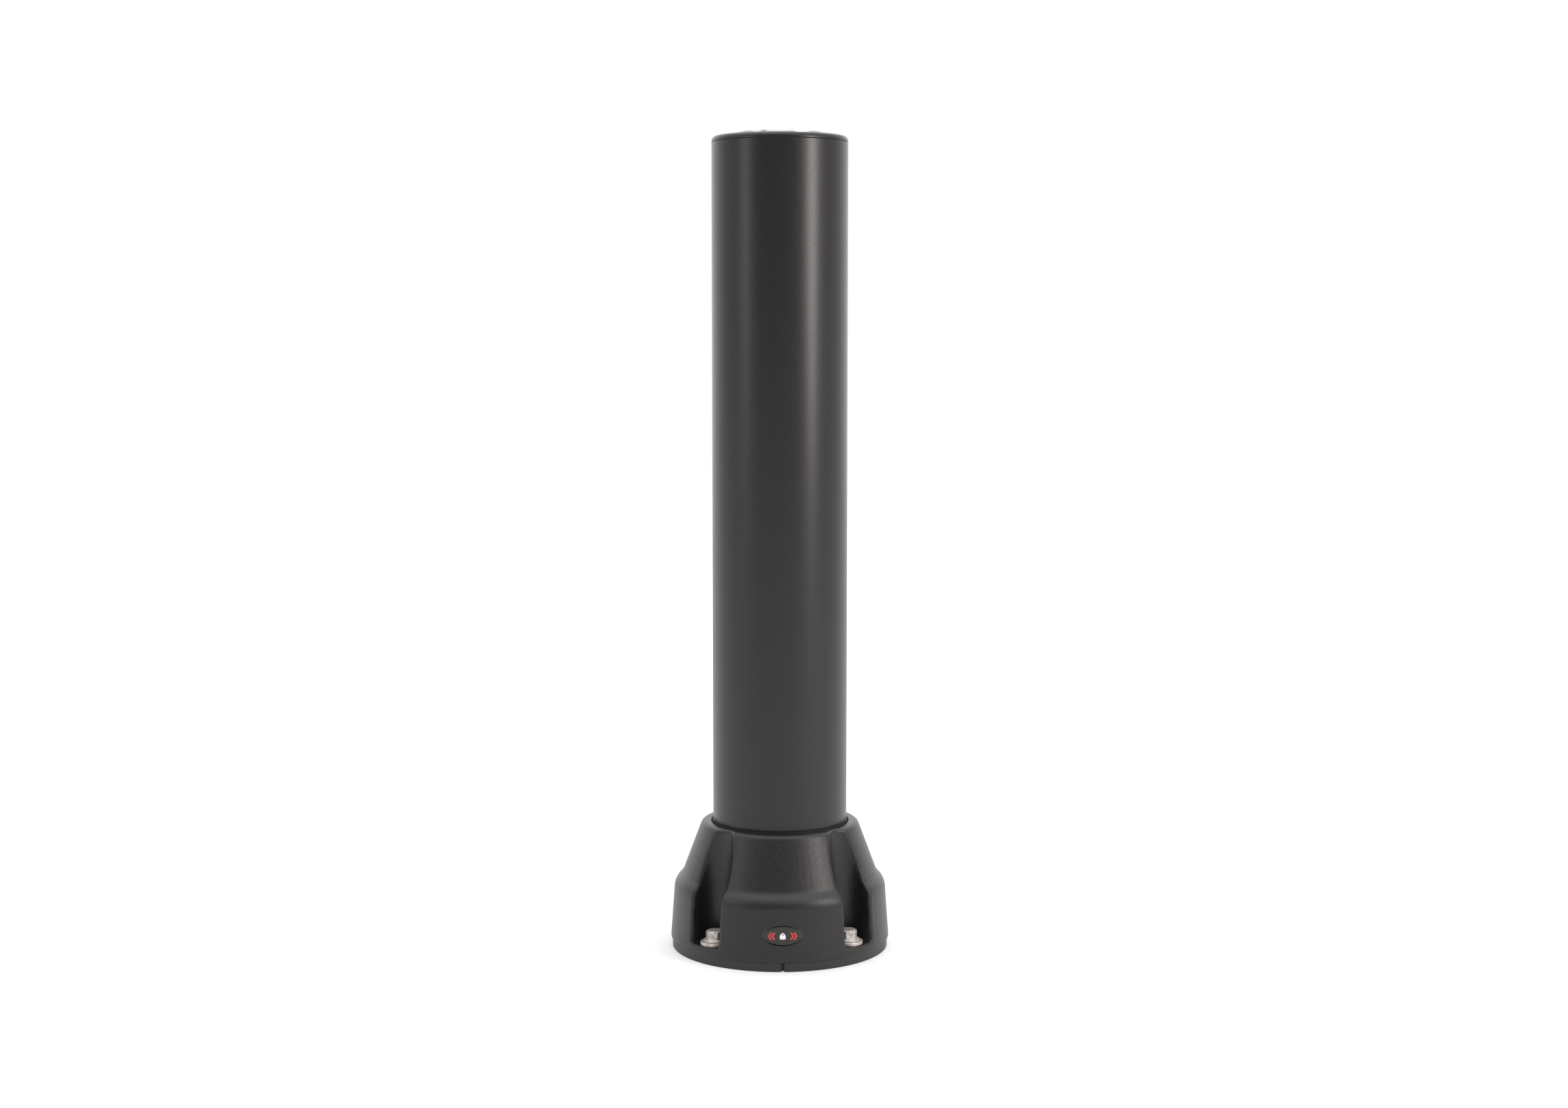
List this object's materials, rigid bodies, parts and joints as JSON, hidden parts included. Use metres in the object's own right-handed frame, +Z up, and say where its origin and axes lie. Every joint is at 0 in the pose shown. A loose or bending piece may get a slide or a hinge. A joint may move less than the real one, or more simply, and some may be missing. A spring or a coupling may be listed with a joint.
{
  "type": "bollard",
  "caption": "Dark round lift-out bollard post in a bolted-down lobed socket base, with a twist lock, an oval lock button and a folding lift handle.",
  "frame": {"origin": "centre of the base plate's underside, on the post's axis", "axes": "+Z up along the post, -Y towards the front, where the button is"},
  "size_m": [0.3276, 0.3276, 1.2095],
  "materials": {
    "cover_black": "moulded, fine grain",
    "tube_black": "satin extruded tube",
    "cap_black": "satin moulded",
    "plate_grey": "satin powder coat",
    "anchor_zinc": "zinc plated, dull",
    "socket_steel": "black oxide",
    "hidden_steel": "plain zinc",
    "foot_alloy": "as cast, flange painted black",
    "bush_plastic": "natural acetal",
    "rubber_black": "matt",
    "button_black": "satin",
    "mark_white": "inlaid",
    "mark_red": "inlaid",
    "dish_steel": "brushed stainless",
    "handle_steel": "polished bar",
    "grip_grey": "moulded grip"
  },
  "bodies": {
    "base": {"base_plate": "plate_grey", "base_cover": "cover_black", "anchor_bolts": "anchor_zinc", "anchor_washers": "anchor_zinc", "core_socket": "socket_steel", "socket_screws": "hidden_steel", "cover_screws": "hidden_steel", "keeper_ring": "socket_steel", "keeper_screws": "hidden_steel", "slide_ring": "bush_plastic", "landing_buffer": "rubber_black", "collar_seal": "rubber_black", "button_guide": "button_black", "button_spring": "hidden_steel", "pin_bush": "bush_plastic"},
    "turn_ring": {"lock_ring": "socket_steel", "drive_keys": "hidden_steel", "key_screws": "hidden_steel"},
    "post": {"post_foot": "foot_alloy", "lock_lugs": "hidden_steel", "lug_screws": "hidden_steel", "guide_bush": "bush_plastic", "tube_gasket": "rubber_black", "post_tube": "tube_black", "tie_rod": "hidden_steel", "tie_nuts": "dish_steel", "tie_washers": "dish_steel", "top_cap": "cap_black", "cap_seal": "rubber_black", "handle_plate": "dish_steel", "plate_screws": "dish_steel", "handle_brackets": "dish_steel", "hinge_pins": "dish_steel"},
    "handle": {"handle_bail": "handle_steel", "handle_grip": "grip_grey"},
    "button": {"button_cap": "button_black", "button_mark": "mark_white", "button_chevrons": "mark_red", "lock_pin": "hidden_steel", "pin_clip": "hidden_steel"}
  },
  "joints": [
    {"name": "post_twist", "type": "hinge", "parent": "base", "child": "turn_ring", "pos_m": [0, 0, 0.05], "axis": [0, 0, 1], "range_deg": [-45, 45]},
    {"name": "post_lift", "type": "slide", "parent": "turn_ring", "child": "post", "axis": [0, 0, 1], "range_m": [0, 0.17]},
    {"name": "handle_fold", "type": "hinge", "parent": "post", "child": "handle", "pos_m": [0, 0.028, 1.2025], "axis": [-1, 0, 0], "range_deg": [0, 90]},
    {"name": "button_press", "type": "slide", "parent": "base", "child": "button", "axis": [0, 1, 0], "range_m": [0, 0.007], "stiffness_N_per_m": 400, "springref_m": -0.012, "deforming": ["button_spring"]}
  ]
}
